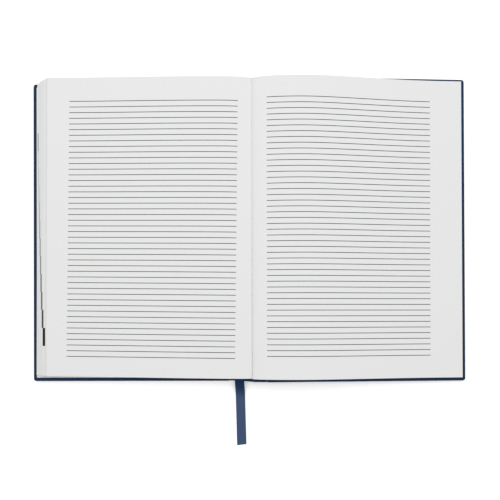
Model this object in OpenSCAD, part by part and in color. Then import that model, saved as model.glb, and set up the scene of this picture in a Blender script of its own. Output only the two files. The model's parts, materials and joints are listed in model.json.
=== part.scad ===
// Casebound notebook lying open: two stiff cloth-covered boards and a spine strip,
// a sewn block of ruled leaves parted into a thick and a thin pile, and a ribbon marker.
// The front cover lies flat, the spine strip leans up from it, and the back cover
// slopes down from the spine to the surface. Both covers swing on the cloth at the spine's edges.

/* [Leaves] */
// Width of a trimmed leaf, from the spine to the fore edge
page_w = 145; // [120:1:180]
// Height of a trimmed leaf, from head to tail
page_h = 211; // [160:1:260]
// Thickness of the pile of leaves on the front cover
front_pile = 9; // [6:0.5:14]
// Thickness of the pile of leaves on the back cover
back_pile = 1.6; // [1.2:0.1:4]
// How far the front pile's fore edge leans back from its lowest to its highest leaf
fan_front = 12; // [4:0.1:14]
// The same lean on the thin back pile
fan_back = 0.6; // [0.2:0.1:2]
// How far the front leaves swell above their pile beside the gutter
front_rise = 2.8; // [0.5:0.1:4]
// How far the back leaves arch above their pile beside the gutter
back_rise = 5.5; // [2:0.1:7]

/* [Case] */
// Thickness of the cover boards
board_t = 2; // [1.5:0.1:3]
// Thickness of the covering cloth
cloth_t = 0.3; // [0.2:0.05:0.5]
// How far the cloth turns in over the boards' inner face
turn_in = 15; // [8:1:20]
// How far the covers stand out beyond the leaves at the head, tail and fore edge
square_w = 2.7; // [2:0.1:5]
// Radius of the covers' corners at the fore edge
corner_r = 1.8; // [1:0.1:4]
// Width of the groove between each board and its hinge line
groove_w = 7; // [5:0.5:9]
// How deep the cloth is pressed into the groove
groove_dip = 1.3; // [0.4:0.1:1.5]
// Thickness of the card in the spine strip
card_t = 1.2; // [0.8:0.1:2]
// How far the card stops short of each hinge line
card_inset = 1; // [0.6:0.1:1.5]
// How far the spine strip leans up from the table
spine_rise = 32; // [28:1:40]

/* [Endpapers and spine lining] */
// Thickness of a pasted-down endpaper, over the bare board
paste_t = 0.5; // [0.4:0.05:0.8]
// Width of the cloth rim that an endpaper leaves bare
paste_rim = 2.6; // [2:0.1:6]
// Thickness of the lining glued to the back of the leaves
lining_t = 0.3; // [0.2:0.05:0.6]

/* [Ribbon marker] */
// Width of the ribbon
ribbon_w = 6.5; // [4:0.5:9]
// Thickness of the ribbon
ribbon_t = 0.35; // [0.2:0.05:0.6]
// Length of ribbon seen from above, past the tail of the covers
ribbon_show = 46.7; // [20:0.1:80]
// How far the ribbon's middle lies from the front hinge line, towards the fore edge
ribbon_off = 0.5; // [-0.5:0.1:1.5]

/* [Hidden] */

// Colours of cloth, board, paper and ribbon
navy = "#2E3A51";
greyboard = "#8D887E";
paper = "#E8E9E8";
endpaper = "#E3E4E1";
gauze = "#D6D1C2";
slate_blue = "#44546F";

// Gap between the hinge bead of a cover and the spine cloth
bead_gap = 0.05;
// Thin leaves next to the opening that bend freely
front_leaf_t = 0.6;
back_leaf_t = back_pile * 0.6;
// Facets on each curve of the leaves, and on the groove and ribbon
curve_n = 14;
groove_n = 12;
ribbon_n = 16;
// Play of the ribbon in its place between two leaves
ribbon_play = 0.1;
// More than any piece, for cutting blocks
far = 2 * (page_w + page_h);

// The case, in a cover's own frame: x runs from the hinge line to the fore edge,
// z from the cloth's inner face towards the leaves
cover_h = page_h + 2 * square_w;
leaf_start = card_t + cloth_t + lining_t;
leaf_end = leaf_start + page_w;
cover_reach = leaf_end + square_w;
stack = board_t + paste_t;

// The spine strip spans both covers and the whole block when the book is closed
spine_w = 2 * stack + front_pile + back_pile;
spine_x = spine_w * cos(spine_rise);
spine_z = cloth_t + spine_w * sin(spine_rise);
// Slope at which the back cover's fore edge just meets the table
back_slope = asin(spine_z / norm([cover_reach, cloth_t])) - atan(cloth_t / cover_reach);

// Places in the section across the book, as [x, z] from the front hinge line
function on_spine(u, v) = [u * cos(spine_rise) - v * sin(spine_rise),
    cloth_t + u * sin(spine_rise) + v * cos(spine_rise)];
function on_back(e, n) = [spine_x + e * cos(back_slope) + n * sin(back_slope),
    spine_z - e * sin(back_slope) + n * cos(back_slope)];
function in_back(p) = [
    (p[0] - spine_x) * cos(back_slope) - (p[1] - spine_z) * sin(back_slope),
    (p[0] - spine_x) * sin(back_slope) + (p[1] - spine_z) * cos(back_slope)];

// A cubic curve through its ends, as a list of points
function cubic(p, t) = pow(1 - t, 3) * p[0] + 3 * pow(1 - t, 2) * t * p[1]
    + 3 * (1 - t) * t * t * p[2] + t * t * t * p[3];
function curve(p, n) = [for (i = [0:n]) cubic(p, i / n)];
// Sideways direction at a point of a path, and a path given a thickness about it
function side(p, i) = let (d = p[min(i + 1, len(p) - 1)] - p[max(i - 1, 0)])
    [-d[1], d[0]] / norm(d);
function strip(p, t) = concat(
    [for (i = [0:len(p) - 1]) p[i] + side(p, i) * t / 2],
    [for (i = [len(p) - 1:-1:0]) p[i] - side(p, i) * t / 2]);

// Height of the front leaves, bottom and top, and of the flat part under the bent leaves
front_z0 = cloth_t + stack;
front_z1 = front_z0 + front_pile;
front_flat = front_z1 - front_leaf_t;
// Levels of the back leaves over the back cover
back_n1 = stack + back_pile;
back_flat = back_n1 - back_leaf_t;
// Where the two piles part: at the lining, and at the bottom of the gutter seen from above
parting = on_spine(stack + front_pile, leaf_start);
valley = parting + [0.8, 3.1];
// The leaves bend between these distances from the two hinge lines
front_bend = ribbon_off + ribbon_w / 2 + 1.2;
back_bend = 9;

// Upper face of the front leaves: from the fore edge up to a low swell, then into the gutter
fore_top = [fan_front - leaf_end, front_z1];
swell = [-12.3, front_z1 + front_rise];
front_upper = concat(
    curve([fore_top, fore_top + [page_w / 3, front_rise / 5], swell - [page_w / 3.5, 0],
        swell], curve_n),
    curve([swell, swell + [8.3, 0], valley + [-0.2, 2.7], valley], curve_n));

// Upper face of the back leaves, in the back cover's frame: steep out of the gutter,
// over an arch that is level at its crest, and down onto the pile
crest = [28.5, back_n1 + back_rise];
back_land = [page_w * 0.9, back_n1];
lean = [1, tan(back_slope)];
back_gutter = curve([in_back(valley), in_back(valley) + [0.6, 4.6], crest - lean * 15, crest],
    curve_n);
back_arch = curve([crest, crest + lean * 23.5, back_land - [page_w * 0.27, 0], back_land],
    curve_n);
back_edge = [leaf_end - fan_back, back_n1];
back_upper = concat(back_gutter, back_arch, [back_edge]);
// The bent back leaves start where they have left the gutter
back_leaf = [for (p = back_upper) if (p[0] > back_bend * 0.4) p];

// Ribbon: level inside the leaves, over the tail of the case, then flat on the table
ribbon_z = front_z0 + front_pile * 0.63;
tail_y = -page_h / 2;
ribbon_end = -cover_h / 2 - ribbon_show;
ribbon_drop = [[tail_y, ribbon_z], [tail_y - 7, ribbon_z], [tail_y - 8, ribbon_t / 2],
    [tail_y - 16, ribbon_t / 2]];
ribbon_path = concat([[page_h / 2 - 1, ribbon_z]], curve(ribbon_drop, ribbon_n),
    [[ribbon_end, ribbon_t / 2]]);

// The part's origin: under the middle of everything, ribbon included
x_low = -cover_reach;
x_high = on_back(cover_reach, board_t + cloth_t)[0];
middle = [(x_low + x_high) / 2, (cover_h / 2 + ribbon_end) / 2, 0];

// Frames

module placed() {
    translate(-middle) children();
}

module front_frame() {
    placed() translate([0, 0, cloth_t]) mirror([1, 0, 0]) children();
}

module spine_frame() {
    placed() translate([0, 0, cloth_t]) rotate([0, -spine_rise, 0]) children();
}

module back_frame() {
    placed() translate([spine_x, 0, spine_z]) rotate([0, back_slope, 0]) children();
}

// A section across the book, drawn in x and z, given a height from head to tail
module along(h) {
    rotate([90, 0, 0]) linear_extrude(h, center = true) children();
}

// A block between two distances and two levels, centred from head to tail
module slab(x0, x1, h, z0, z1) {
    translate([x0, -h / 2, z0]) cube([x1 - x0, h, z1 - z0]);
}

// A slab whose two corners at the far end are round
module cover_slab(x0, x1, h, z0, z1, r) {
    slab(x0, x1 - r, h, z0, z1);
    slab(x0, x1, h - 2 * r, z0, z1);
    for (s = [-1, 1])
        translate([x1 - r, s * (h / 2 - r), z0]) cylinder(h = z1 - z0, r = r, $fn = 48);
}

// Cover pieces, each in a cover's own frame

module board() {
    cover_slab(groove_w, cover_reach - cloth_t, cover_h - 2 * cloth_t, 0, board_t,
        corner_r - cloth_t);
}

// The cloth turned in over the board's inner face, along three edges
module turned_in() {
    difference() {
        cover_slab(groove_w, cover_reach, cover_h, board_t, board_t + cloth_t, corner_r);
        slab(groove_w - 1, cover_reach - turn_in, cover_h - 2 * turn_in,
            board_t - 1, board_t + cloth_t + 1);
    }
}

module cover_cloth() {
    difference() {
        cover_slab(groove_w, cover_reach, cover_h, -cloth_t, board_t, corner_r);
        cover_slab(groove_w - 1, cover_reach - cloth_t, cover_h - 2 * cloth_t, 0,
            board_t + 1, corner_r - cloth_t);
    }
    turned_in();
    groove();
    // The cloth is rounded about the hinge line, where it bends
    rotate([90, 0, 0]) cylinder(h = cover_h, r = cloth_t, center = true, $fn = 32);
}

// Cloth pressed in between the board and the hinge line
module groove() {
    bed = [for (i = [0:groove_n]) let (x = groove_w * i / groove_n)
        [x, groove_dip * pow(sin(180 * x / groove_w), 2) - cloth_t / 2]];
    along(cover_h) polygon(strip(bed, cloth_t));
}

// The endpaper beds on the board and steps up over the turned-in cloth
module pastedown() {
    difference() {
        slab(groove_w, cover_reach - paste_rim, cover_h - 2 * paste_rim, board_t, stack);
        turned_in();
    }
}

// Front half, which lies on the table

module front_board() {
    color(greyboard) front_frame() board();
}

module front_cover_cloth() {
    color(navy) front_frame() cover_cloth();
}

module front_pastedown() {
    color(endpaper) front_frame() pastedown();
}

// Section of all the leaves left of the back bend, with their backs on the lining
module leaves_section() {
    polygon(concat(
        [[-leaf_end, front_z0]], front_upper,
        [for (p = back_gutter) on_back(p[0], p[1])],
        [on_back(crest[0], stack), on_back(groove_w * 0.7, stack),
            on_back(0, stack - lining_t),
            on_spine(stack + front_pile + back_pile, leaf_start),
            on_spine((front_z0 - on_spine(0, leaf_start)[1]) / sin(spine_rise), leaf_start)]));
}

module front_pages() {
    color(paper) placed() intersection() {
        along(page_h) leaves_section();
        slab(-far, -front_bend, far, 0, front_flat);
    }
}

// Leaves on top of the front pile, which swell beside the gutter
module front_open_leaves() {
    color(paper) placed() intersection() {
        along(page_h) leaves_section();
        slab(-far, -front_bend, far, front_flat, far);
    }
}

// Ribbon between the leaves, out at the tail and down onto the table
module ribbon_marker() {
    color(slate_blue) placed() translate([-ribbon_off, 0, 0])
        rotate([90, 0, 90]) linear_extrude(ribbon_w, center = true)
            polygon(strip(ribbon_path, ribbon_t));
}

// Spine strip, leaning up from the front hinge

module spine_card() {
    color(greyboard) spine_frame()
        slab(card_inset, spine_w - card_inset, cover_h - 2 * cloth_t, 0, card_t);
}

// Cloth on the outside of the spine, turned in over the card at head and tail
module spine_cloth() {
    hem = cloth_t + bead_gap;
    color(navy) spine_frame() {
        slab(hem, spine_w - hem, cover_h, -cloth_t, 0);
        for (s = [-1, 1])
            translate([0, s * (cover_h - cloth_t) / 2, 0])
                slab(card_inset, spine_w - card_inset, cloth_t, -cloth_t, card_t + cloth_t);
        for (s = [-1, 1])
            translate([0, s * (cover_h - turn_in) / 2, 0])
                slab(card_inset, spine_w - card_inset, turn_in, card_t, card_t + cloth_t);
    }
}

// Gauze and paper glued to the back of the leaves, behind the hollow of the spine
module spine_lining() {
    color(gauze) spine_frame()
        slab(stack, spine_w - stack, page_h, leaf_start - lining_t, leaf_start);
}

// Leaves where they bend out of the spine to either side, with the ribbon's place in them
module page_fold() {
    color(paper) placed() difference() {
        intersection() {
            along(page_h) leaves_section();
            slab(-front_bend, far, far, 0, far);
            translate([spine_x, 0, spine_z]) rotate([0, back_slope, 0])
                slab(-far, back_bend, far, -far, far);
        }
        translate([-ribbon_off, 0, ribbon_z])
            cube([ribbon_w + 2 * ribbon_play, far, ribbon_t + 2 * ribbon_play], center = true);
    }
}

// Back half, which slopes down from the back hinge

module back_board() {
    color(greyboard) back_frame() board();
}

module back_cover_cloth() {
    color(navy) back_frame() cover_cloth();
}

module back_pastedown() {
    color(endpaper) back_frame() pastedown();
}

module back_pages() {
    lean_flat = fan_back * (back_flat - stack) / back_pile;
    color(paper) back_frame() along(page_h) polygon([[back_bend, stack], [leaf_end, stack],
        [leaf_end - lean_flat, back_flat], [back_bend, back_flat]]);
}

// Leaves on top of the back pile, arched up beside the gutter
module back_open_leaves() {
    under = [for (i = [len(back_leaf) - 1:-1:0]) back_leaf[i] - [0, back_leaf_t]];
    color(paper) back_frame() intersection() {
        along(page_h) polygon(concat(back_leaf, under));
        slab(back_bend, far, far, 0, far);
    }
}

front_board();
front_cover_cloth();
front_pastedown();
front_pages();
front_open_leaves();
ribbon_marker();
spine_card();
spine_cloth();
spine_lining();
page_fold();
back_board();
back_cover_cloth();
back_pastedown();
back_pages();
back_open_leaves();
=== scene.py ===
"""Looks of a casebound notebook lying open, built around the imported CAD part.

Lengths in the functions below are millimetres in the book's own frame: x runs across the
book from the front hinge line, y from tail to head, z up from the table.
"""

import json
import math
import random

import bmesh
import bpy
from mathutils import Matrix, Vector


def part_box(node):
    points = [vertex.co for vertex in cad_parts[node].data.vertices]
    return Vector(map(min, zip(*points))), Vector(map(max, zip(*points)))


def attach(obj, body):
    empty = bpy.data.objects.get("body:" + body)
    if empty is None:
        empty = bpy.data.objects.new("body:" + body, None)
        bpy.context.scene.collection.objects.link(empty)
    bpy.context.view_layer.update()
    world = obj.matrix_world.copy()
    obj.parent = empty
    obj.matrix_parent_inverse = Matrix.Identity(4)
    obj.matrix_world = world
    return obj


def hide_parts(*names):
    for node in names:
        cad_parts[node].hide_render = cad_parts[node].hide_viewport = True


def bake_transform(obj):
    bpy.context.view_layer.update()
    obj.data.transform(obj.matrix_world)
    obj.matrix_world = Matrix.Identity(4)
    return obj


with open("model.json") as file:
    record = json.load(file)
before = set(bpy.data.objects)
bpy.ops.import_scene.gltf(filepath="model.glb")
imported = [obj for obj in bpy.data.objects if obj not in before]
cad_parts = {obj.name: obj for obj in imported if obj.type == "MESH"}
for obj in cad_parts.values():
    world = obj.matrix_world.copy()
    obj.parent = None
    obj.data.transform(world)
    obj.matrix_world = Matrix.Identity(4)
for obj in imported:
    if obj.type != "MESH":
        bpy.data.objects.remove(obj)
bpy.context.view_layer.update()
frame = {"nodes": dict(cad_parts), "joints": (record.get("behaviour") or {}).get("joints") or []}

bl_info = {
    "name": "Open Notebook",
    "version": (1, 0, 0),
    "blender": (4, 5, 0),
    "location": "3D View > Sidebar > Notebook",
    "description": "Builds a casebound notebook lying open, with its ribbon marker",
    "category": "Object",
}

MM = 0.001
JOINTS = {joint["name"]: joint for joint in frame["joints"]}
FRONT_HINGE = Vector(JOINTS["front_hinge"]["pos_m"]) / MM
BACK_HINGE = Vector(JOINTS["back_hinge"]["pos_m"]) / MM
MIDDLE = Vector((-FRONT_HINGE.x, -FRONT_HINGE.y, 0))
SPINE_W = (BACK_HINGE - FRONT_HINGE).length
SPINE_RISE = math.radians(90 - JOINTS["front_hinge"]["range_deg"][1])
BACK_SLOPE = math.radians(JOINTS["back_hinge"]["range_deg"][1] - 90) - SPINE_RISE

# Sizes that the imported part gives
CLOTH_T = FRONT_HINGE.z
BOARD_T = (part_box("front_board")[1].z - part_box("front_board")[0].z) / MM
COVER_H = (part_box("front_cover_cloth")[1].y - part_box("front_cover_cloth")[0].y) / MM
REACH = -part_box("front_cover_cloth")[0].x / MM - MIDDLE.x
PAGE_H = (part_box("front_pages")[1].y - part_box("front_pages")[0].y) / MM
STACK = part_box("front_pages")[0].z / MM - CLOTH_T
LEAF_END = -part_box("front_pages")[0].x / MM - MIDDLE.x

# Sizes repeated from the part's source
PAGE_W = 145.0
FRONT_PILE = 9.0
BACK_PILE = 1.6
FAN_FRONT = 12.0
FAN_BACK = 0.6
FRONT_RISE = 2.8
BACK_RISE = 5.5
GROOVE_W = 7.0
GROOVE_DIP = 1.3
CARD_T = 1.2
CARD_INSET = 1.0
TURN_IN = 15.0
CORNER_R = 1.8
RIBBON_T = 0.35
RIBBON_SHOW = 46.7
# Share of the front pile that lies under the ribbon
RIBBON_LEVEL = 0.63
LEAF_START = LEAF_END - PAGE_W
SWELL_X = -12.3
CREST_X = 28.5
BACK_LAND = PAGE_W * 0.9

# Radii of the cloth round the boards' edges, and round its own fold at head and tail
BOARD_EDGE_R = 0.6
FOLD_R = 0.35
# The front pile's fore edge is rounded, its middle standing out past a straight slant
FORE_BOW = 1.8
# Place of the crease between the pages, off their parting: 1 mm above the part's, as bent
# paper leaves it rounder
VALLEY_OFF = Vector((0.8, 4.1))
# The back leaves lie loose, a little above a pressed pile at the fore edge, and so draw back
BACK_LOOSE = 0.8
BACK_DRAWN = 0.3
# The front leaves lie turned a little on their cover, and slid towards the head
PILE_TURN = 0.0131
PILE_SLIDE = 0.5
# Share of its place in the pile that a drawn leaf fills
LEAF_FILL = 0.97
# Ruling of both pages
LINES = 46
LINE_PITCH = 4.0
# Turn of each page's ruling, its first line's y, and the x of its lines' two ends
FRONT_RULING = PILE_TURN, 89.15, -120.1, -1.1
BACK_RULING = 0.002, 90.75, 20.1, 136.2
# Index marks down the fore edge: how many, the length of each, and the y where they start
MARKS = 12
MARK_LENGTH = 12.8
MARKS_TOP = 71.5


def linear(code):
    """An sRGB hex colour as linear red, green, blue and alpha."""
    parts = [int(code[i : i + 2], 16) / 255 for i in (1, 3, 5)]
    turned = [c / 12.92 if c <= 0.04045 else ((c + 0.055) / 1.055) ** 2.4 for c in parts]
    return (*turned, 1.0)


def shade(colour, amount):
    """A linear colour made darker or paler."""
    return (*(min(1.0, c * amount) for c in colour[:3]), 1.0)


# Places in the section across the book, as (x, z)


def on_front(d, n):
    """d from the front hinge towards the fore edge, n off the cover towards the leaves."""
    return Vector((-d, CLOTH_T + n))


def on_spine(u, v):
    """u along the spine strip from the front hinge, v off it towards the leaves."""
    c, s = math.cos(SPINE_RISE), math.sin(SPINE_RISE)
    return Vector((u * c - v * s, CLOTH_T + u * s + v * c))


def on_back(e, n):
    """e along the back cover from its hinge, n off it towards the leaves."""
    c, s = math.cos(BACK_SLOPE), math.sin(BACK_SLOPE)
    return Vector((BACK_HINGE.x + MIDDLE.x + e * c + n * s, BACK_HINGE.z - e * s + n * c))


def in_back(p):
    """The distances e and n of a place on the back cover."""
    c, s = math.cos(BACK_SLOPE), math.sin(BACK_SLOPE)
    x, z = p[0] - BACK_HINGE.x - MIDDLE.x, p[1] - BACK_HINGE.z
    return Vector((x * c - z * s, x * s + z * c))


def cubic(a, b, c, d, count):
    """count + 1 points of a cubic curve."""
    return [
        a * (1 - t) ** 3 + b * 3 * (1 - t) ** 2 * t + c * 3 * (1 - t) * t * t + d * t**3
        for t in (i / count for i in range(count + 1))
    ]


def straight(a, b, count):
    """count + 1 points of a straight line."""
    return [a.lerp(b, i / count) for i in range(count + 1)]


def place(x, y, z):
    """A place of the book in the frame's metres."""
    return (Vector((x, y, z)) - MIDDLE) * MM


# Meshes


def sheet_through(mesh, rows):
    """A sheet through rows of places, all of them equally long."""
    across, along = len(rows[0]) - 1, len(rows) - 1
    made = bmesh.ops.create_grid(mesh, x_segments=across, y_segments=along, size=1)["verts"]
    for vert, spot in zip(made, (spot for row in rows for spot in row)):
        vert.co = place(*spot)
    return made


def face_way(mesh, faces, up):
    """Turns an open sheet's faces up or down."""
    bmesh.ops.recalc_face_normals(mesh, faces=faces)
    if (sum(face.normal.z * face.calc_area() for face in faces) > 0) != up:
        bmesh.ops.reverse_faces(mesh, faces=faces)


def finished(name, mesh, material):
    """An object at the origin, its place in its mesh, with its material."""
    data = bpy.data.meshes.new(name)
    mesh.to_mesh(data)
    mesh.free()
    data.materials.append(material)
    data.polygons.foreach_set("use_smooth", [True] * len(data.polygons))
    data.set_sharp_from_angle(angle=math.radians(50))
    made = bpy.data.objects.new(name, data)
    bpy.context.scene.collection.objects.link(made)
    return made


def cloth_wall(mesh):
    """Gives an outside of cloth, which faces down, its thickness inwards."""
    face_way(mesh, mesh.faces[:], False)
    bmesh.ops.solidify(mesh, geom=mesh.faces[:], thickness=CLOTH_T * MM)
    bmesh.ops.recalc_face_normals(mesh, faces=mesh.faces)


def round_off(mesh, edges, radius, segments):
    """Rounds edges of a board's outside."""
    bmesh.ops.bevel(
        mesh,
        geom=edges,
        offset=radius * MM,
        affect="EDGES",
        segments=segments,
        profile=0.5,
        material=-1,
    )


def covered_board(mesh):
    """Outside of the cloth round a board, in the cover's own frame: x from the hinge to the
    fore edge and z towards the leaves. The cloth wraps the head, tail and fore edge and
    turns in over the inner side. Beside the groove it does so at head and tail only."""
    centre = Vector(((REACH + GROOVE_W) / 2, 0, BOARD_T / 2)) * MM
    size = Vector((REACH - GROOVE_W, COVER_H, BOARD_T + 2 * CLOTH_T)) * MM
    block = Matrix.Translation(centre) @ Matrix.Diagonal((*size, 1))
    bmesh.ops.create_cube(mesh, size=1, matrix=block)
    corners = [
        edge
        for edge in mesh.edges
        if all(v.co.x > centre.x for v in edge.verts)
        and abs(edge.verts[0].co.z - edge.verts[1].co.z) > MM
    ]
    round_off(mesh, corners, CORNER_R, 6)
    # The lower edge beside the groove stays sharp, where the cloth goes on into the groove
    foot = (GROOVE_W + 0.1) * MM
    rims = [
        edge
        for edge in mesh.edges
        if any(abs(face.normal.z) > 0.9 for face in edge.link_faces)
        and not all(v.co.x < foot and v.co.z < centre.z for v in edge.verts)
    ]
    round_off(mesh, rims, BOARD_EDGE_R, 4)
    inner_x, inner_y = (REACH - TURN_IN) * MM, (COVER_H / 2 - TURN_IN) * MM
    for spot, normal in (
        ((inner_x, 0, 0), (1, 0, 0)),
        ((0, inner_y, 0), (0, 1, 0)),
        ((0, -inner_y, 0), (0, 1, 0)),
    ):
        parts = mesh.verts[:] + mesh.edges[:] + mesh.faces[:]
        bmesh.ops.bisect_plane(mesh, geom=parts, plane_co=spot, plane_no=normal)
    bare = []
    for face in mesh.faces:
        x, y, _ = face.calc_center_median()
        if x < inner_x and abs(y) < inner_y and face.normal.z > -0.01:
            bare.append(face)
    bmesh.ops.delete(mesh, geom=bare, context="FACES")


def spine_strip(mesh, section, turned):
    """Outside of a strip of cloth along the spine, folded in at head and tail. section gives
    its points for a depth of the groove from 0 to 1, and turned says how far above each of
    them the face of the turned-in cloth lies."""
    edge = COVER_H / 2
    steps = [(edge - d, 1.0) for d in (TURN_IN, 12, 8, 5, 3, 1.5)]
    steps += [
        (edge - FOLD_R + FOLD_R * math.sin(a), (1 + math.cos(a)) / 2)
        for a in (math.pi * i / 6 for i in range(7))
    ]
    steps += [(edge - d, 0.0) for d in (1.5, 3, 5, 8, 12)]
    rows = []
    for y, share in steps + [(-y, share) for y, share in reversed(steps)]:
        # The groove fades out towards the head and tail, where the cloth is double
        near = min(1.0, (edge - abs(y)) / 10)
        points = section(0.3 + 0.7 * near * near * (3 - 2 * near))
        row = []
        for i, point in enumerate(points):
            along = points[min(i + 1, len(points) - 1)] - points[max(i - 1, 0)]
            off = Vector((-along[1], along[0])).normalized() * turned[i] * share
            row.append((point[0] + off[0], y, point[1] + off[1]))
        rows.append(row)
    sheet_through(mesh, rows)


def leaf_sheets(name, sections, span, thickness, material, seed, scatter, turn=0.0, slide=0.0):
    """Separate leaves as one piece, each a little longer or shorter than the next. Each point
    keeps its leaf's tone, and its place in the book as a UV map in metres."""
    chance = random.Random(seed)
    mesh = bmesh.new()
    tones = mesh.verts.layers.float.new("leaf_tone")
    for section, share in sections:
        moved = slide + chance.uniform(-scatter, scatter)
        # The end further from the hinge is the fore edge
        fore = 0 if abs(section[0][0]) > abs(section[-1][0]) else -1
        section[fore] = section[fore] + Vector((chance.uniform(-scatter, scatter), 0))
        tone = chance.uniform(0.0, 1.0)
        # The lower leaves turn a little less than the upper ones
        lean = turn * (0.75 + 0.25 * share)
        before = set(mesh.verts)
        rows = [[], []]
        for row, y in zip(rows, span):
            for x, z in section:
                # The fore edge also leans with the turn, and the gutter stays straight
                slip = 0.4 * lean * y * min(1.0, abs(x) / 40)
                row.append((x + slip, y + moved - lean * x, z))
        sheet_through(mesh, rows)
        faces = [face for face in mesh.faces if face.verts[0] not in before]
        face_way(mesh, faces, True)
        bmesh.ops.solidify(mesh, geom=faces, thickness=thickness * MM)
        for vert in set(mesh.verts) - before:
            vert[tones] = tone
    bmesh.ops.recalc_face_normals(mesh, faces=mesh.faces)
    places = mesh.loops.layers.uv.new("book")
    for face in mesh.faces:
        for loop in face.loops:
            loop[places].uv = (loop.vert.co + MIDDLE * MM).xy
    return finished(name, mesh, material)


def front_leaf(share):
    """A front leaf's section from fore edge to spine, share of the way up the pile. The top
    curve has the part's handles, but for the one at the valley, 1 mm shorter as it is higher."""
    z0 = CLOTH_T + STACK
    z1 = z0 + FRONT_PILE
    parting = on_spine(STACK + FRONT_PILE, LEAF_START)
    valley = parting + VALLEY_OFF
    fore = Vector((FAN_FRONT - LEAF_END, z1))
    swell = Vector((SWELL_X, z1 + FRONT_RISE))
    leave = fore + Vector((PAGE_W / 3, FRONT_RISE / 5))
    top = cubic(fore, leave, swell - Vector((PAGE_W / 3.5, 0)), swell, 16)
    top += cubic(swell, swell + Vector((8.3, 0)), valley + Vector((-0.2, 1.7)), valley, 18)[1:]
    top += straight(valley, parting, 3)[1:]
    foot = on_spine(STACK, LEAF_START)
    bend = Vector((-2.5, z0))
    low = straight(Vector((-LEAF_END, z0)), bend, 16)
    low += cubic(bend, bend + Vector((1.5, 0)), foot - Vector((0.7, -0.35)), foot, 21)[1:]
    made = []
    for a, b in zip(low, top):
        # Only the upper leaves take part in the swell before the gutter
        lift = max(0.0, b[1] - z1) if b[0] < 4 else 0.0
        bow = FORE_BOW * 4 * share * (1 - share) * max(0.0, -b[0] / LEAF_END) ** 3
        across = a[0] + (b[0] - a[0]) * share - bow
        made.append(Vector((across, a[1] + (b[1] - a[1] - lift) * share + lift * share**2)))
    return made


def back_leaf(share):
    """A back leaf's section from spine to fore edge, share of the way up the pile. The top
    curve has the part's handles, but for the one at the valley, 1 mm shorter as it is higher."""
    parting = on_spine(STACK + FRONT_PILE, LEAF_START)
    valley = parting + VALLEY_OFF
    start = in_back(valley)
    n1 = STACK + BACK_PILE
    crest = Vector((CREST_X, n1 + BACK_RISE))
    land = Vector((BACK_LAND, n1 + BACK_LOOSE))
    fore = Vector((LEAF_END - FAN_BACK - BACK_DRAWN, n1 + BACK_LOOSE))
    lean = Vector((1, math.tan(BACK_SLOPE)))
    arch = cubic(start, start + Vector((0.6, 3.6)), crest - lean * 15, crest, 20)
    arch += cubic(crest, crest + lean * 23.5, land - Vector((PAGE_W * 0.27, 0)), land, 18)[1:]
    arch += straight(land, fore, 3)[1:]
    top = straight(parting, valley, 3) + [on_back(*p) for p in arch[1:]]
    foot = in_back(on_spine(STACK + FRONT_PILE + BACK_PILE, LEAF_START))
    bend = Vector((4.5, STACK))
    low = cubic(foot, foot + Vector((0.5, 1.6)), bend - Vector((2.5, 0)), bend, 12)
    low += straight(bend, Vector((CREST_X, STACK)), 11)[1:]
    low += straight(Vector((CREST_X, STACK)), Vector((LEAF_END, STACK)), 21)[1:]
    return [on_back(*a).lerp(b, share) for a, b in zip(low, top)]


# Materials


def add(tree, kind, links=(), **settings):
    """Adds a node. settings are its own properties, and links gives its inputs, by name or in
    order, another node, one of its outputs or a fixed value."""
    node = tree.nodes.new("ShaderNode" + kind)
    for key, value in settings.items():
        setattr(node, key, value)
    for key, value in links.items() if isinstance(links, dict) else enumerate(links):
        if isinstance(value, bpy.types.Node):
            value = next(output for output in value.outputs if output.enabled)
        if isinstance(value, bpy.types.NodeSocket):
            tree.links.new(value, node.inputs[key])
        else:
            node.inputs[key].default_value = value
    return node


def empty_tree(owner):
    """The cleared node tree of a material or world."""
    owner.use_nodes = True
    owner.node_tree.nodes.clear()
    return owner.node_tree


def surface(tree, colour, height, depth, **values):
    """Ends a material in its shader, with its colour, its bump in mm and fixed values."""
    bump = add(tree, "Bump", {"Height": height, "Distance": depth * MM})
    links = {"Base Color": colour, "Normal": bump}
    links.update((key.replace("_", " "), value) for key, value in values.items())
    add(tree, "OutputMaterial", {"Surface": add(tree, "BsdfPrincipled", links)})


def ruling(tree, places, turn, first, low_x, high_x, width):
    """Ink of the ruled lines on a grid turned by a small angle: 1 on a line."""
    grid = add(tree, "Mapping", {"Vector": places, "Rotation": (0, 0, turn)})
    x, y, _ = add(tree, "SeparateXYZ", [grid]).outputs
    down = add(tree, "Math", [first * MM, y], operation="SUBTRACT")
    count = add(tree, "Math", [down, LINE_PITCH * MM], operation="DIVIDE")
    nearest = add(tree, "Math", [count], operation="ROUND")
    line = add(tree, "Math", [count, nearest, width / 2 / LINE_PITCH], operation="COMPARE")
    row = add(tree, "Math", [nearest, (LINES - 1) / 2, LINES / 2], operation="COMPARE")
    centre, half = (low_x + high_x) / 2 * MM, (high_x - low_x) / 2 * MM
    across = add(tree, "Math", [x, centre, half], operation="COMPARE")
    ink = add(tree, "Math", [line, row], operation="MULTIPLY")
    return add(tree, "Math", [ink, across], operation="MULTIPLY")


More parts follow.
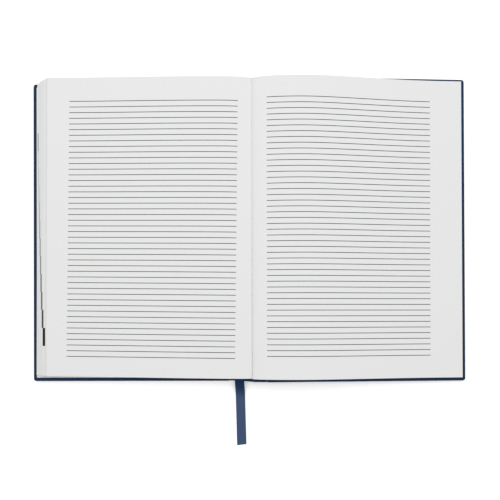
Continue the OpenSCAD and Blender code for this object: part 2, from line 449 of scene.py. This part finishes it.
def ruled_paper(name, colours, turn, first, low_x, high_x, width):
    """Uncoated offset writing paper, printed with fine lines: matt, faintly cloudy where its
    fibres lie thicker, with a soft tooth."""
    tree = empty_tree(bpy.data.materials.new(name))
    places = add(tree, "UVMap", uv_map="book")
    # Clouds 2.4 mm across and a tooth of 0.8 mm, coarser than the real fibres so they show
    cloud = add(tree, "TexNoise", {"Vector": places, "Scale": 1 / (2.4 * MM), "Detail": 3.0})
    tooth = add(tree, "TexNoise", {"Vector": places, "Scale": 1 / (0.8 * MM), "Detail": 3.0})
    pale, dark = shade(colours.paper, 1.02), shade(colours.paper, 0.98)
    sheet = add(tree, "Mix", {"Factor": cloud, "A": dark, "B": pale}, data_type="RGBA")
    ink = ruling(tree, places, turn, first, low_x, high_x, width)
    printed = {"Factor": ink, "A": sheet, "B": colours.ink}
    colour = add(tree, "Mix", printed, data_type="RGBA")
    surface(tree, colour, tooth, 0.02, Roughness=0.92, Specular_IOR_Level=0.2)


def cut_paper(name, colours, marked):
    """Cut edges of stacked paper: every leaf a shade lighter or darker than the next at random,
    all of them darker than the page with painted shade of the stepped edges. On the fore edge,
    index marks printed out to the cut step one place up the pile each."""
    tree = empty_tree(bpy.data.materials.new(name))
    places = add(tree, "UVMap", uv_map="book")
    tone = add(tree, "Attribute", attribute_name="leaf_tone").outputs["Fac"]
    # Painted shade: the leaves' tones lie between 0.82 and 0.99 of the paper's colour, darker
    # than the page, for the shade among the stepped cut edges; which leaf gets which tone is
    # random
    pale, dark = shade(colours.paper, 0.99), shade(colours.paper, 0.82)
    colour = add(tree, "Mix", {"Factor": tone, "A": dark, "B": pale}, data_type="RGBA")
    if marked:
        x, y, _ = add(tree, "SeparateXYZ", [places]).outputs
        down = add(tree, "Math", [MARKS_TOP * MM, y], operation="SUBTRACT")
        count = add(tree, "Math", [down, MARK_LENGTH * MM], operation="DIVIDE")
        step = add(tree, "Math", [count], operation="FLOOR")
        share = add(tree, "Math", [step, MARKS - 1.0], operation="DIVIDE", use_clamp=True)
        # Each lies 0.44 mm further up the slanted edge. The last ones lie up to 1.8 mm further
        # still and are up to twice as broad
        heavy = add(tree, "Math", [share, 7.0], operation="POWER")
        evenly = add(tree, "Math", [step, 0.44 * MM, -144.95 * MM], operation="MULTIPLY_ADD")
        centre = add(tree, "Math", [heavy, 1.8 * MM, evenly], operation="MULTIPLY_ADD")
        half = add(tree, "Math", [heavy, 0.6 * MM, 0.6 * MM], operation="MULTIPLY_ADD")
        mark = add(tree, "Math", [x, centre, half], operation="COMPARE")
        within = add(tree, "Math", [count, MARKS / 2, MARKS / 2], operation="COMPARE")
        mark = add(tree, "Math", [mark, within], operation="MULTIPLY")
        # They darken towards the tail, and the top one stands out too
        top = add(tree, "Math", [step, 0.0, 0.5], operation="COMPARE")
        strength = add(tree, "Math", [share, 0.9, 0.1], operation="MULTIPLY_ADD")
        strength = add(tree, "Math", [top, 0.5, strength], operation="MULTIPLY_ADD")
        mark = add(tree, "Math", [mark, strength], operation="MULTIPLY")
        printed = {"Factor": mark, "A": colour, "B": colours.ink}
        colour = add(tree, "Mix", printed, data_type="RGBA")
    # Grain of 0.5 mm, coarser than the real fibres so that it shows
    grain = add(tree, "TexNoise", {"Vector": places, "Scale": 1 / (0.5 * MM)})
    surface(tree, colour, grain, 0.02, Roughness=0.9, Specular_IOR_Level=0.2)


def plain_weave(tree, places, spacing):
    """Height of a plain weave whose threads are a little wavy and uneven."""
    wander = add(tree, "TexNoise", {"Vector": places, "Scale": 1 / (9 * MM)})
    push = {0: wander.outputs["Color"], "Scale": 1.2 * MM}
    push = add(tree, "VectorMath", push, operation="SCALE")
    moved = add(tree, "VectorMath", [places, push], operation="ADD")
    x, y, _ = add(tree, "SeparateXYZ", [moved]).outputs
    turns = 2 * math.pi / (spacing * MM)
    across = add(tree, "Math", [x, turns], operation="MULTIPLY")
    along = add(tree, "Math", [y, turns], operation="MULTIPLY")
    warp = add(tree, "Math", [across], operation="SINE")
    weft = add(tree, "Math", [along], operation="SINE")
    crossed = add(tree, "Math", [warp, weft], operation="MULTIPLY")
    return add(tree, "Math", [crossed, 0.5, 0.5], operation="MULTIPLY_ADD")


def navy_bookcloth(colours):
    """Dyed and filled cotton bookcloth: navy threads with paler crowns, longer slubs across
    and a faint sheen at low angles."""
    tree = empty_tree(bpy.data.materials.new("navy_bookcloth_woven"))
    places = add(tree, "TexCoord").outputs["Object"]
    # Threads 0.8 mm apart, about twice the real spacing, so that they show
    weave = plain_weave(tree, places, 0.8)
    drawn = add(tree, "Mapping", {"Vector": places, "Scale": (0.25, 1, 1)})
    slubs = add(tree, "TexNoise", {"Vector": drawn, "Scale": 1 / (1.6 * MM), "Detail": 4.0})
    uneven = add(tree, "Math", [slubs, 0.55], operation="MULTIPLY")
    tone = add(tree, "Math", [weave, 0.45, uneven], operation="MULTIPLY_ADD")
    crowns = {"Factor": tone, "A": shade(colours.cloth, 0.6), "B": shade(colours.cloth, 1.4)}
    colour = add(tree, "Mix", crowns, data_type="RGBA")
    surface(
        tree,
        colour,
        tone,
        0.09,
        Roughness=0.75,
        Specular_IOR_Level=0.1,
        Sheen_Weight=0.05,
        Sheen_Roughness=0.5,
    )


def pressed_greyboard():
    """Greyboard pressed from waste paper: dull grey-brown with darker and paler flecks."""
    tree = empty_tree(bpy.data.materials.new("greyboard_pressed"))
    places = add(tree, "TexCoord").outputs["Object"]
    cells = add(tree, "TexVoronoi", {"Vector": places, "Scale": 1 / (1.3 * MM)})
    pulp = add(tree, "TexNoise", {"Vector": places, "Scale": 1 / (0.8 * MM), "Detail": 4.0})
    flecks = add(tree, "Math", [cells, pulp], operation="MULTIPLY")
    tones = {"Factor": flecks, "A": linear("#7E786D"), "B": linear("#A8A297")}
    colour = add(tree, "Mix", tones, data_type="RGBA")
    surface(tree, colour, flecks, 0.05, Roughness=1.0, Specular_IOR_Level=0.1)


def wove_endpaper():
    """Heavy uncoated endpaper, pasted down: a little warmer than the leaves, felt-like."""
    tree = empty_tree(bpy.data.materials.new("endpaper_wove"))
    places = add(tree, "TexCoord").outputs["Object"]
    # Clouds 1.6 mm across and a felt of 0.7 mm, coarser than the real fibres so they show
    cloud = add(tree, "TexNoise", {"Vector": places, "Scale": 1 / (1.6 * MM), "Detail": 5.0})
    felt = add(tree, "TexNoise", {"Vector": places, "Scale": 1 / (0.7 * MM)})
    tones = {"Factor": cloud, "A": linear("#DAD9D4"), "B": linear("#EAE9E5")}
    colour = add(tree, "Mix", tones, data_type="RGBA")
    surface(tree, colour, felt, 0.04, Roughness=0.95, Specular_IOR_Level=0.2)


def cotton_mull():
    """Cotton mull glued over the backs of the leaves: an open, stiff, cream net."""
    tree = empty_tree(bpy.data.materials.new("cotton_mull_net"))
    # Threads 1.4 mm apart, coarser than real so that they show
    net = plain_weave(tree, add(tree, "TexCoord").outputs["Object"], 1.4)
    tones = {"Factor": net, "A": linear("#B9B3A2"), "B": linear("#E2DDCF")}
    colour = add(tree, "Mix", tones, data_type="RGBA")
    surface(tree, colour, net, 0.12, Roughness=0.95)


def rayon_satin(colours, width):
    """Woven rayon satin ribbon: fine ribs across, streaks along, firm darker edges, and a slate
    colour, with painted shade turning it deep navy where it drops steeply from the leaves to the
    table."""
    tree = empty_tree(bpy.data.materials.new("satin_ribbon_woven"))
    places = add(tree, "UVMap", uv_map="book")
    x, y, _ = add(tree, "SeparateXYZ", [places]).outputs
    # Ribs 0.5 mm apart, about twice the real spacing, so that they show
    turns = add(tree, "Math", [y, 2 * math.pi / (0.5 * MM)], operation="MULTIPLY")
    ribs = add(tree, "Math", [turns], operation="SINE")
    drawn = add(tree, "Mapping", {"Vector": places, "Scale": (1, 0.08, 1)})
    streaks = add(tree, "TexNoise", {"Vector": drawn, "Scale": 1 / (0.5 * MM), "Detail": 3.0})
    tone = add(tree, "Math", [ribs, 0.12, streaks], operation="MULTIPLY_ADD")
    side = add(tree, "Math", [x], operation="ABSOLUTE")
    edge = add(tree, "Math", [side, width / 2 - 0.55 * MM], operation="GREATER_THAN")
    tone = add(tree, "Math", [edge, -0.3, tone], operation="MULTIPLY_ADD")
    ribbon_colour = {"Factor": tone, "A": shade(colours.ribbon, 0.7), "B": shade(colours.ribbon, 1.3)}
    ribbon_colour = add(tree, "Mix", ribbon_colour, data_type="RGBA")
    # Painted shade: deep navy over the ribbon's first 14 to 28 mm from inside the leaves, where
    # it drops steeply to the table and faces away from the light
    painted_shade = {"Factor": tone, "A": linear("#0A1F40"), "B": linear("#18335C")}
    painted_shade = add(tree, "Mix", painted_shade, data_type="RGBA")
    run = {"Value": y, "From Min": 14 * MM, "From Max": 28 * MM}
    run = add(tree, "MapRange", run, interpolation_type="SMOOTHSTEP")
    colour = add(tree, "Mix", {"Factor": run, "A": painted_shade, "B": ribbon_colour}, data_type="RGBA")
    surface(
        tree, colour, tone, 0.05, Roughness=0.5, Specular_IOR_Level=0.08, Sheen_Weight=0.05
    )


def seen_directly(tree):
    """1 for what the camera sees, also in gloss and through glass."""
    path = add(tree, "LightPath").outputs
    seen = [path["Is Camera Ray"], path["Is Glossy Ray"]]
    seen = add(tree, "Math", seen, operation="MAXIMUM")
    return add(tree, "Math", [seen, path["Is Transmission Ray"]], operation="MAXIMUM")


def studio_floor():
    """Matt white studio floor, a little brighter to the eye than it is lit."""
    made = bpy.data.materials.new("studio_floor_matt")
    tree = empty_tree(made)
    paint = {"Base Color": linear("#FBFBFB"), "Roughness": 1.0, "Specular IOR Level": 0.0}
    paint = add(tree, "BsdfPrincipled", paint)
    dark = add(tree, "Emission", {"Strength": 0.0})
    glow = add(tree, "Emission", {"Strength": 0.23})
    chosen = add(tree, "MixShader", [seen_directly(tree), dark, glow])
    add(tree, "OutputMaterial", {"Surface": add(tree, "AddShader", [paint, chosen])})
    return made


# What the panel shows


class NotebookSizes(bpy.types.PropertyGroup):
    front_leaves: bpy.props.IntProperty(
        name="Front leaves",
        description="Leaves drawn in the front pile, a multiple of its six sections",
        default=48,
        min=12,
    )
    back_leaves: bpy.props.IntProperty(
        name="Back leaves", description="Leaves drawn in the back pile", default=16, min=4
    )
    scatter: bpy.props.FloatProperty(
        name="Edge scatter",
        description="How unevenly the leaves' edges lie",
        default=0.08 * MM,
        subtype="DISTANCE",
        unit="LENGTH",
        precision=5,
    )
    line_width: bpy.props.FloatProperty(
        name="Line width",
        description="Width of the printed lines",
        default=0.45 * MM,
        subtype="DISTANCE",
        unit="LENGTH",
        precision=5,
    )
    ribbon_width: bpy.props.FloatProperty(
        name="Ribbon width",
        description="Width of the ribbon marker",
        default=6.7 * MM,
        subtype="DISTANCE",
        unit="LENGTH",
        precision=4,
    )


class NotebookColours(bpy.types.PropertyGroup):
    cloth: bpy.props.FloatVectorProperty(
        name="Cloth",
        description="Dye of the bookcloth",
        default=linear("#1E304C"),
        size=4,
        subtype="COLOR",
    )
    paper: bpy.props.FloatVectorProperty(
        name="Paper",
        description="Tint of the leaves",
        default=linear("#E8E9E8"),
        size=4,
        subtype="COLOR",
    )
    ink: bpy.props.FloatVectorProperty(
        name="Ink",
        description="Ink of the ruled lines and index marks",
        default=linear("#1A1B1D"),
        size=4,
        subtype="COLOR",
    )
    # The ribbon's own slate colour; the deep navy near the leaves is painted shade
    ribbon: bpy.props.FloatVectorProperty(
        name="Ribbon",
        description="Faded dye of the ribbon",
        default=linear("#3E5070"),
        size=4,
        subtype="COLOR",
    )


class NOTEBOOK_OT_stage(bpy.types.Operator):
    """Lay the floor, and set the lights and the camera"""

    bl_idname = "notebook.stage"
    bl_label = "Stage"

    def execute(self, context):
        scene = context.scene
        mesh = bmesh.new()
        bmesh.ops.create_grid(mesh, x_segments=1, y_segments=1, size=0.9)
        # A hair under the book, so that no faces coincide
        bmesh.ops.translate(mesh, verts=mesh.verts, vec=(0, 0, -0.2 * MM))
        finished("floor", mesh, studio_floor())

        scene.world = bpy.data.worlds.new("studio")
        tree = empty_tree(scene.world)
        # Behind the book it shows white, and lights it more softly
        strength = add(tree, "Mix", {"Factor": seen_directly(tree), "A": 0.38, "B": 1.0})
        sky = add(tree, "Background", {"Color": linear("#FFFFFF"), "Strength": strength})
        add(tree, "OutputWorld", {"Surface": sky})

        lamp = bpy.data.lights.new("soft_light", "AREA")
        lamp.shape = "SQUARE"
        lamp.size = 1.3
        lamp.energy = 11.0
        light = bpy.data.objects.new("soft_light", lamp)
        scene.collection.objects.link(light)
        light.location = (0.0, 0.25, 1.1)
        light.rotation_euler = (-light.location).to_track_quat("-Z", "Y").to_euler()

        # Fitted to the photo, whose side, focal length and shift are in pixels
        side, focal, shift = 500, 434.175, 62.79
        lens = bpy.data.cameras.new("camera")
        lens.sensor_width = 36.0
        lens.lens = 36.0 * focal / side
        lens.shift_y = shift / side
        lens.clip_start = 0.01
        lens.clip_end = 20
        camera = bpy.data.objects.new("camera", lens)
        scene.collection.objects.link(camera)
        turn = (
            Matrix.Rotation(0.003434, 3, "Z")
            @ Matrix.Rotation(-0.004062, 3, "X")
            @ Matrix.Rotation(-0.013384, 3, "Y")
        )
        camera.location = (0.005668, -0.036948, 0.316412)
        camera.rotation_euler = turn.transposed().to_euler()
        scene.camera = camera
        scene.view_settings.view_transform = "Standard"
        return {"FINISHED"}


class NOTEBOOK_OT_materials(bpy.types.Operator):
    """Make the notebook's papers, cloths and board"""

    bl_idname = "notebook.materials"
    bl_label = "Materials"

    def execute(self, context):
        colours = context.scene.notebook_colours
        sizes = context.scene.notebook_sizes
        width = sizes.line_width / MM
        navy_bookcloth(colours)
        pressed_greyboard()
        wove_endpaper()
        cotton_mull()
        rayon_satin(colours, sizes.ribbon_width)
        cut_paper("offset_paper_cut_front", colours, True)
        cut_paper("offset_paper_cut_back", colours, False)
        ruled_paper("offset_paper_ruled_front", colours, *FRONT_RULING, width)
        ruled_paper("offset_paper_ruled_back", colours, *BACK_RULING, width)
        return {"FINISHED"}


class NOTEBOOK_OT_ribbon(bpy.types.Operator):
    """Lay the ribbon marker from between the leaves out over the tail"""

    bl_idname = "notebook.ribbon"
    bl_label = "Ribbon marker"

    def execute(self, context):
        width = context.scene.notebook_sizes.ribbon_width / MM
        level = CLOTH_T + STACK + FRONT_PILE * RIBBON_LEVEL
        flat = RIBBON_T / 2
        tail = -PAGE_H / 2
        end = -COVER_H / 2 - RIBBON_SHOW
        # Places down its length, as (y, z): out of the leaves, down to the table, along it
        drop = (Vector((tail - d, z)) for d, z in ((0, level), (7, level), (8, flat), (16, flat)))
        path = [Vector((tail + 8, level)), *cubic(*drop, 24)]
        path += straight(path[-1], Vector((end, flat)), 12)[1:]
        # It drifts from 0.5 to 1.7 mm past the hinge line, on the spine's side
        drift = [0.5 + 1.2 * max(0.0, tail - p[0]) / (tail - end) for p in path]
        middle = [Vector((x, *p)) for x, p in zip(drift, path)]
        walked = [0.0]
        for a, b in zip(middle, middle[1:]):
            walked.append(walked[-1] + (b - a).length)
        across = [width * (i / 8 - 0.5) for i in range(9)]
        rows = [[(p.x + off, p.y, p.z + flat) for off in across] for p in middle]
        # The cut end slants
        rows[-1] = [(x, y + 0.12 * off, z) for (x, y, z), off in zip(rows[-1], across)]
        mesh = bmesh.new()
        grid = sheet_through(mesh, rows)
        layer = mesh.loops.layers.uv.new("book")
        wide = len(across)
        for i, vert in enumerate(grid):
            for loop in vert.link_loops:
                loop[layer].uv = (across[i % wide] * MM, walked[i // wide] * MM)
        face_way(mesh, mesh.faces[:], True)
        bmesh.ops.solidify(mesh, geom=mesh.faces[:], thickness=RIBBON_T * MM)
        bmesh.ops.recalc_face_normals(mesh, faces=mesh.faces)
        satin = bpy.data.materials["satin_ribbon_woven"]
        made = finished("ribbon_tail", mesh, satin)
        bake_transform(made)
        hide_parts("ribbon_marker")
        return {"FINISHED"}


class NOTEBOOK_OT_insides(bpy.types.Operator):
    """Give the boards, endpapers and spine lining their materials"""

    bl_idname = "notebook.insides"
    bl_label = "Boards and endpapers"

    def execute(self, context):
        for node, name in (
            ("front_board", "greyboard_pressed"),
            ("back_board", "greyboard_pressed"),
            ("spine_card", "greyboard_pressed"),
            ("front_pastedown", "endpaper_wove"),
            ("back_pastedown", "endpaper_wove"),
            ("spine_lining", "cotton_mull_net"),
        ):
            slots = frame["nodes"][node].data.materials
            slots.clear()
            slots.append(bpy.data.materials[name])
        return {"FINISHED"}


class NOTEBOOK_OT_covers(bpy.types.Operator):
    """Wrap each board in cloth"""

    bl_idname = "notebook.covers"
    bl_label = "Covers"

    def execute(self, context):
        front = Matrix.Translation(FRONT_HINGE * MM) @ Matrix.Diagonal((-1, 1, 1, 1))
        back = Matrix.Translation(BACK_HINGE * MM) @ Matrix.Rotation(BACK_SLOPE, 4, "Y")
        for side, matrix in (("front", front), ("back", back)):
            mesh = bmesh.new()
            covered_board(mesh)
            bmesh.ops.transform(mesh, matrix=matrix, verts=mesh.verts)
            cloth_wall(mesh)
            cloth = bpy.data.materials["navy_bookcloth_woven"]
            made = finished(f"{side}_cover", mesh, cloth)
            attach(made, side)
            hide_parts(f"{side}_cover_cloth")
        return {"FINISHED"}


class NOTEBOOK_OT_spine(bpy.types.Operator):
    """Cover the spine strip, and join it to both covers along a pressed groove"""

    bl_idname = "notebook.spine"
    bl_label = "Spine and grooves"

    def execute(self, context):
        steps = [GROOVE_W * (1 - i / 14) for i in range(15)]
        # Places past the hinge, with how far each is up from the cloth onto the card
        ramp = ((0.2, 0.0), (0.45, 0.1), (0.7, 0.6), (CARD_INSET, 1.0))
        single, double = 2 * CLOTH_T, CARD_T + 2 * CLOTH_T
        rise = [single + (double - single) * share for _, share in ramp]

        def pressed(x, depth):
            return GROOVE_DIP * depth * math.sin(math.pi * x / GROOVE_W) ** 2 - CLOTH_T

        def front(depth):
            groove = [on_front(x, pressed(x, depth)) for x in steps]
            return groove + [on_spine(u, -CLOTH_T) for u, _ in ramp]

        def card(depth):
            ends = [on_spine(u, -CLOTH_T) for u in (CARD_INSET, SPINE_W - CARD_INSET)]
            return straight(*ends, 6)

        def back(depth):
            groove = [on_back(x, pressed(x, depth)) for x in reversed(steps)]
            return [on_spine(SPINE_W - u, -CLOTH_T) for u, _ in reversed(ramp)] + groove

        cloth = bpy.data.materials["navy_bookcloth_woven"]
        # Each joint bends over this far on the cover and on the spine
        for name, section, turned in (
            ("front_joint", front, [single] * len(steps) + rise),
            ("spine_cover", card, [double] * len(card(0))),
            ("back_joint", back, rise[::-1] + [single] * len(steps)),
        ):
            mesh = bmesh.new()
            spine_strip(mesh, section, turned)
            cloth_wall(mesh)
            made = finished(name, mesh, cloth)
            if name == "front_joint":
                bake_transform(made)
            elif name == "back_joint":
                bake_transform(made)
            else:
                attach(made, "spine")
                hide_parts("spine_cloth")
        return {"FINISHED"}


class NOTEBOOK_OT_front_leaves(bpy.types.Operator):
    """Stack the front leaves in six sewn sections, with the ruled page on top"""

    bl_idname = "notebook.front_leaves"
    bl_label = "Front leaves"

    def execute(self, context):
        sizes = context.scene.notebook_sizes
        span = (-PAGE_H / 2, PAGE_H / 2)
        count = sizes.front_leaves
        per = count // 6
        if count % 6:
            raise ValueError("the front leaves don't fill six sections")
        thickness = FRONT_PILE / count * LEAF_FILL
        cut = bpy.data.materials["offset_paper_cut_front"]
        page = bpy.data.materials["offset_paper_ruled_front"]
        shares = [(n + 1) / count for n in range(count)]
        pieces = [(f"front_section_{k + 1}", shares[k * per :][:per], cut) for k in range(6)]
        pieces[-1][1].pop()
        pieces.append(("front_page", [1.0], page))
        for k, (name, part, material) in enumerate(pieces):
            made = leaf_sheets(
                name,
                [(front_leaf(share), share) for share in part],
                span,
                thickness,
                material,
                10 + k,
                0.0 if material is page else sizes.scatter / MM,
                PILE_TURN,
                PILE_SLIDE,
            )
            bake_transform(made)
            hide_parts("front_pages", "front_open_leaves", "page_fold")
        return {"FINISHED"}


class NOTEBOOK_OT_back_leaves(bpy.types.Operator):
    """Fan the thin back pile over its arch, with the ruled page on top"""

    bl_idname = "notebook.back_leaves"
    bl_label = "Back leaves"

    def execute(self, context):
        sizes = context.scene.notebook_sizes
        # A hair shorter than the front leaves, so that no edges coincide in the closed book
        span = (0.05 - PAGE_H / 2, PAGE_H / 2 - 0.05)
        count = sizes.back_leaves
        shares = [(n + 1) / count for n in range(count)]
        cut = bpy.data.materials["offset_paper_cut_back"]
        page = bpy.data.materials["offset_paper_ruled_back"]
        for name, part, material, before, after in (
            ("back_section_1", shares[: count // 2], cut, 4.0, 3.5),
            ("back_section_2", shares[count // 2 : -1], cut, 5.5, 6.0),
            ("back_page", shares[-1:], page, 6.0, 7.0),
        ):
            made = leaf_sheets(
                name,
                [(back_leaf(share), share) for share in part],
                span,
                BACK_PILE / count * LEAF_FILL,
                material,
                30 + len(part),
                0.0 if material is page else sizes.scatter / MM,
            )
            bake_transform(made)
            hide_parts("back_pages", "back_open_leaves")
        return {"FINISHED"}


STEPS = (
    NOTEBOOK_OT_stage,
    NOTEBOOK_OT_materials,
    NOTEBOOK_OT_ribbon,
    NOTEBOOK_OT_insides,
    NOTEBOOK_OT_covers,
    NOTEBOOK_OT_spine,
    NOTEBOOK_OT_front_leaves,
    NOTEBOOK_OT_back_leaves,
)


class NOTEBOOK_PT_build(bpy.types.Panel):
    """Lists the notebook's sizes, colours and building steps"""

    bl_idname = "NOTEBOOK_PT_build"
    bl_label = "Open Notebook"
    bl_space_type = "VIEW_3D"
    bl_region_type = "UI"
    bl_category = "Notebook"

    def draw(self, context):
        column = self.layout.column()
        for group in (context.scene.notebook_sizes, context.scene.notebook_colours):
            for name in group.__annotations__:
                column.prop(group, name)
        for step in STEPS:
            column.operator(step.bl_idname)


CLASSES = (NotebookSizes, NotebookColours, *STEPS, NOTEBOOK_PT_build)


def register():
    for cls in CLASSES:
        bpy.utils.register_class(cls)
    bpy.types.Scene.notebook_sizes = bpy.props.PointerProperty(type=NotebookSizes)
    bpy.types.Scene.notebook_colours = bpy.props.PointerProperty(type=NotebookColours)


def unregister():
    del bpy.types.Scene.notebook_colours
    del bpy.types.Scene.notebook_sizes
    for cls in reversed(CLASSES):
        bpy.utils.unregister_class(cls)


def main():
    register()
    bpy.ops.notebook.stage()
    bpy.ops.notebook.materials()
    bpy.ops.notebook.ribbon()
    bpy.ops.notebook.insides()
    bpy.ops.notebook.covers()
    bpy.ops.notebook.spine()
    bpy.ops.notebook.front_leaves()
    bpy.ops.notebook.back_leaves()


if __name__ == "__main__":
    main()
